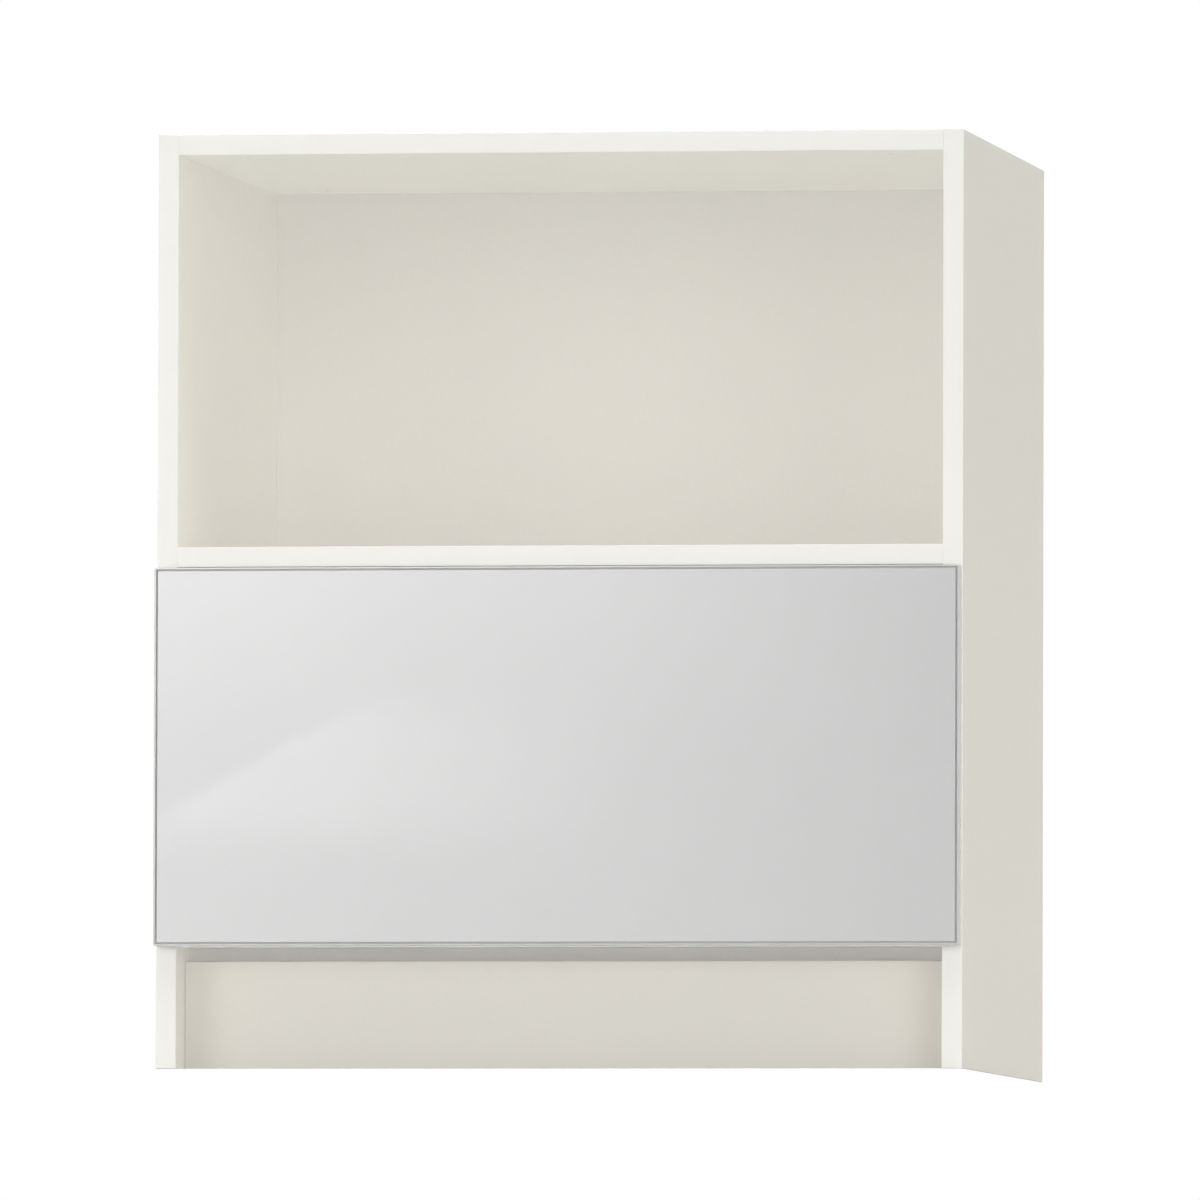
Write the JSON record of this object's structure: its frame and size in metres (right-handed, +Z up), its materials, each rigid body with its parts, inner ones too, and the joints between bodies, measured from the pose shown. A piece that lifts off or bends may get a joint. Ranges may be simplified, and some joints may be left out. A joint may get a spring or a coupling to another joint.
{
  "type": "microwave base cabinet",
  "caption": "Handleless base cabinet with an open microwave niche above a wide gloss drawer on telescopic slides, and a recessed kick between full-height side panels.",
  "frame": {"origin": "centre of the cabinet's footprint, on the floor", "axes": "+X to the right seen from the front, -Y out of the front, +Z up"},
  "size_m": [0.762, 0.6096, 0.8763],
  "materials": {
    "greige_melamine": "satin",
    "greige_back": "satin",
    "white_edging": "satin",
    "rail_board": "satin",
    "front_core": "matte",
    "front_gloss": "gloss",
    "front_edging": "gloss",
    "front_liner": "satin",
    "zinc_steel": "satin",
    "cam_zinc": "satin",
    "screw_zinc": "satin",
    "beech_dowel": "matte",
    "chrome_ball": "polished",
    "cage_steel": "satin",
    "lever_plastic": "satin",
    "rivet_steel": "satin",
    "drawer_melamine": "satin",
    "drawer_edging": "satin",
    "bumper_silicone": "gloss"
  },
  "bodies": {
    "cabinet": {"side_panel_left": "greige_melamine", "side_panel_right": "greige_melamine", "side_edge_band_left": "white_edging", "side_edge_band_right": "white_edging", "top_panel": "greige_melamine", "top_edge_band": "white_edging", "niche_shelf": "greige_melamine", "shelf_edge_band": "white_edging", "bottom_panel": "greige_melamine", "bottom_edge_band": "white_edging", "back_panel": "greige_back", "rear_rail_top": "rail_board", "rear_rail_middle": "rail_board", "kick_rail": "rail_board", "kick_board": "greige_melamine", "kick_screws": "screw_zinc", "cam_locks": "cam_zinc", "cam_bolts": "screw_zinc", "carcass_dowels": "beech_dowel", "slide_outer_left": "zinc_steel", "slide_outer_right": "zinc_steel", "slide_screws_cabinet": "screw_zinc"},
    "drawer": {"slide_inner_left": "zinc_steel", "slide_inner_right": "zinc_steel", "lever_rivets": "rivet_steel", "drawer_front_core": "front_core", "drawer_front_face": "front_gloss", "drawer_front_edging": "front_edging", "drawer_front_liner": "front_liner", "drawer_side_left": "drawer_melamine", "drawer_side_right": "drawer_melamine", "drawer_box_front": "drawer_melamine", "drawer_box_back": "drawer_melamine", "drawer_bottom": "drawer_melamine", "drawer_edge_bands": "drawer_edging", "drawer_dowels": "beech_dowel", "front_fixing_screws": "screw_zinc", "slide_screws_drawer": "screw_zinc", "drawer_bumpers": "bumper_silicone"},
    "mid_left": {"slide_mid_left": "zinc_steel"},
    "mid_right": {"slide_mid_right": "zinc_steel"},
    "cage_outer_left": {"ball_cage_outer_left": "cage_steel", "balls_outer_left": "chrome_ball"},
    "cage_outer_right": {"ball_cage_outer_right": "cage_steel", "balls_outer_right": "chrome_ball"},
    "cage_inner_left": {"ball_cage_inner_left": "cage_steel", "balls_inner_left": "chrome_ball"},
    "cage_inner_right": {"ball_cage_inner_right": "cage_steel", "balls_inner_right": "chrome_ball"},
    "lever_left": {"release_lever_left": "lever_plastic"},
    "lever_right": {"release_lever_right": "lever_plastic"}
  },
  "joints": [
    {"name": "drawer_slide", "type": "slide", "parent": "cabinet", "child": "drawer", "axis": [0, -1, 0], "range_m": [0, 0.5334]},
    {"name": "mid_slide_left", "type": "slide", "parent": "cabinet", "child": "mid_left", "axis": [0, -1, 0], "range_m": [0, 0.2667]},
    {"name": "cage_outer_slide_left", "type": "slide", "parent": "cabinet", "child": "cage_outer_left", "axis": [0, -1, 0], "range_m": [0, 0.13335]},
    {"name": "cage_inner_slide_left", "type": "slide", "parent": "cabinet", "child": "cage_inner_left", "axis": [0, -1, 0], "range_m": [0, 0.40005]},
    {"name": "mid_slide_right", "type": "slide", "parent": "cabinet", "child": "mid_right", "axis": [0, -1, 0], "range_m": [0, 0.2667]},
    {"name": "cage_outer_slide_right", "type": "slide", "parent": "cabinet", "child": "cage_outer_right", "axis": [0, -1, 0], "range_m": [0, 0.13335]},
    {"name": "cage_inner_slide_right", "type": "slide", "parent": "cabinet", "child": "cage_inner_right", "axis": [0, -1, 0], "range_m": [0, 0.40005]},
    {"name": "release_lever_right_press", "type": "hinge", "parent": "drawer", "child": "lever_right", "pos_m": [0.35235, -0.06, 0.2413], "axis": [-1, 0, 0], "range_deg": [0, 6], "stiffness_Nm_per_rad": 0.08},
    {"name": "release_lever_left_press", "type": "hinge", "parent": "drawer", "child": "lever_left", "pos_m": [-0.35235, -0.06, 0.2413], "axis": [1, 0, 0], "range_deg": [0, 6], "stiffness_Nm_per_rad": 0.08}
  ],
  "couplings": [
    {"joint": "mid_slide_left", "follows": "drawer_slide", "ratio": 0.5},
    {"joint": "cage_outer_slide_left", "follows": "drawer_slide", "ratio": 0.25},
    {"joint": "cage_inner_slide_left", "follows": "drawer_slide", "ratio": 0.75},
    {"joint": "mid_slide_right", "follows": "drawer_slide", "ratio": 0.5},
    {"joint": "cage_outer_slide_right", "follows": "drawer_slide", "ratio": 0.25},
    {"joint": "cage_inner_slide_right", "follows": "drawer_slide", "ratio": 0.75}
  ]
}
